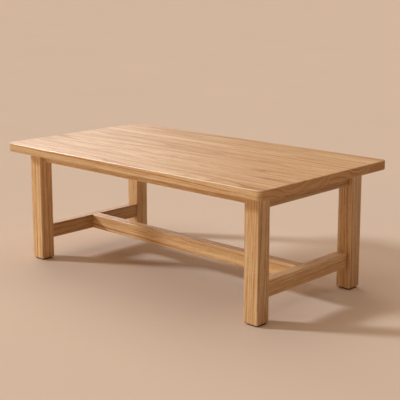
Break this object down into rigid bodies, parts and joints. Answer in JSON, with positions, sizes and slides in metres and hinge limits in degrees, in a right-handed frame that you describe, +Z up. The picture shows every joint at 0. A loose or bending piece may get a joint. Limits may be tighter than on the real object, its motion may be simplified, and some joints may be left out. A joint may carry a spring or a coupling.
{
  "type": "dining table",
  "caption": "Low solid oak dining table for floor seating: edge-glued top with rounded corners on square legs, set-back aprons and an H-shaped stretcher.",
  "frame": {"origin": "on the floor under the middle of the top", "axes": "+X along the length of the top, +Y from the front side to the back side, +Z up"},
  "size_m": [1.1, 0.6, 0.4],
  "materials": {
    "oak_top": "satin oiled oak",
    "oak_frame": "satin oiled oak",
    "oak_button": "bare sawn oak",
    "zinc_screw": "zinc plated",
    "felt_pad": "pressed black felt"
  },
  "bodies": {
    "root": {"apron_back": "oak_frame", "apron_front": "oak_frame", "apron_left": "oak_frame", "apron_right": "oak_frame", "button_back_1": "oak_button", "button_back_2": "oak_button", "button_front_1": "oak_button", "button_front_2": "oak_button", "button_left_1": "oak_button", "button_left_2": "oak_button", "button_right_1": "oak_button", "button_right_2": "oak_button", "button_screws": "zinc_screw", "foot_pad_back_left": "felt_pad", "foot_pad_back_right": "felt_pad", "foot_pad_front_left": "felt_pad", "foot_pad_front_right": "felt_pad", "leg_back_left": "oak_frame", "leg_back_right": "oak_frame", "leg_front_left": "oak_frame", "leg_front_right": "oak_frame", "stretcher_left": "oak_frame", "stretcher_long": "oak_frame", "stretcher_right": "oak_frame", "top_board_1": "oak_top", "top_board_2": "oak_top", "top_board_3": "oak_top", "top_board_4": "oak_top", "top_board_5": "oak_top", "top_board_6": "oak_top"}
  },
  "joints": []
}
